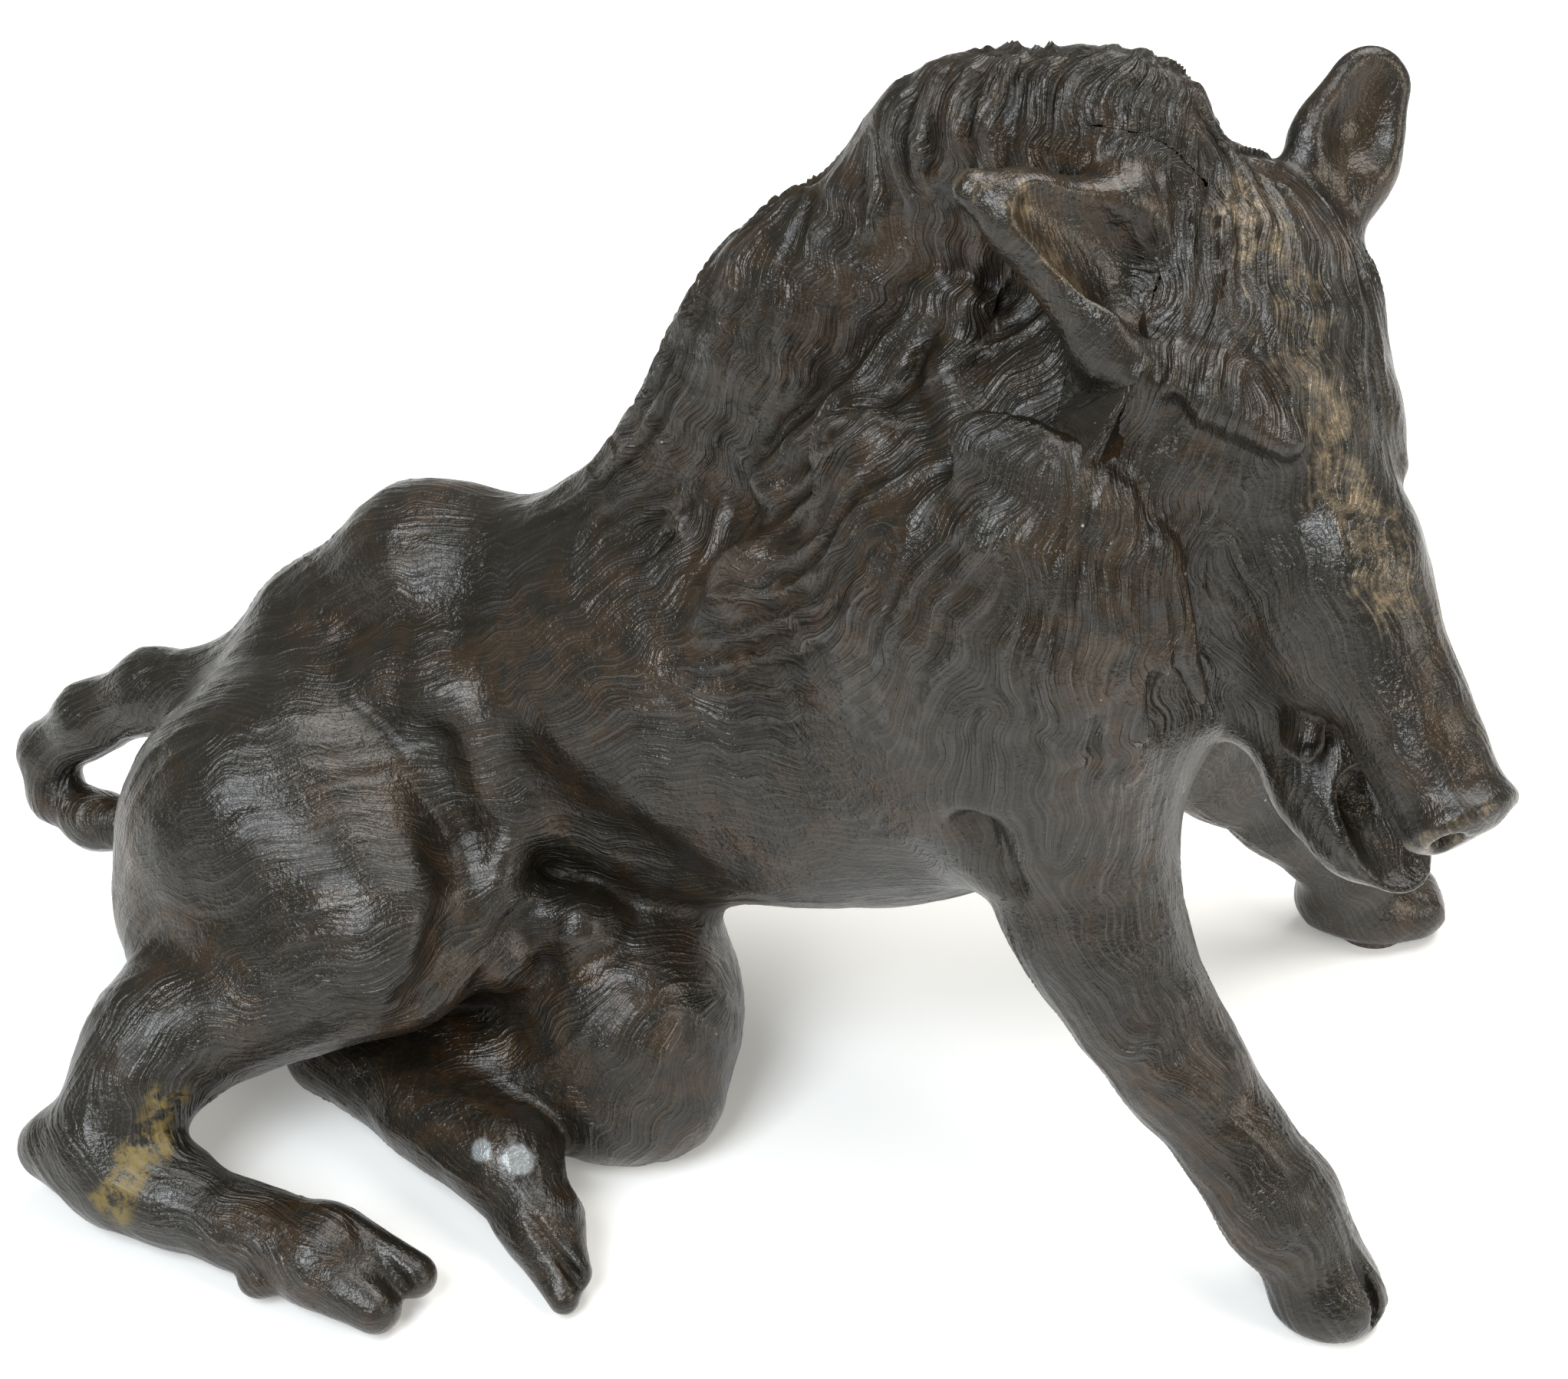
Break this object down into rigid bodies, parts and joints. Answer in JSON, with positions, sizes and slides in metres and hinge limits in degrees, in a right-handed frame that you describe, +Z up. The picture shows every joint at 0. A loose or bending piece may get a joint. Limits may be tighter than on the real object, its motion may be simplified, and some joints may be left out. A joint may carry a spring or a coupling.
{
  "type": "seated wild boar statuette",
  "caption": "Cast bronze statuette of a wild boar sitting on its hip, head turned and mouth open, long mane, looped tail, fore hooves on felt pads",
  "frame": {"origin": "centre of the bounding box in plan, on the plane the statuette stands on", "axes": "+X toward the animal's chest and fore hooves (longest extent), +Y toward its left flank, +Z up"},
  "size_m": [0.308, 0.169, 0.2249],
  "materials": {
    "bronze": "dark brown-black patina, waxed, rubbed on the high points",
    "dowel": "raw turned rod",
    "felt": "worn dark red-brown felt"
  },
  "bodies": {
    "root": {"trunk_casting": "bronze", "shoulder_casting": "bronze", "head_casting": "bronze", "right_ear": "bronze", "left_ear": "bronze", "right_foreleg": "bronze", "left_foreleg": "bronze", "right_hind_leg": "bronze", "left_hind_foot": "bronze", "tail": "bronze", "seam_collar": "bronze", "neck_collar": "bronze", "right_foreleg_dowel": "dowel", "left_foreleg_dowel": "dowel", "right_hock_dowel": "dowel", "left_foot_dowel": "dowel", "tail_pin": "dowel", "right_ear_pin": "dowel", "left_ear_pin": "dowel", "right_fore_felt_pad": "felt", "left_fore_felt_pad": "felt"}
  },
  "joints": []
}
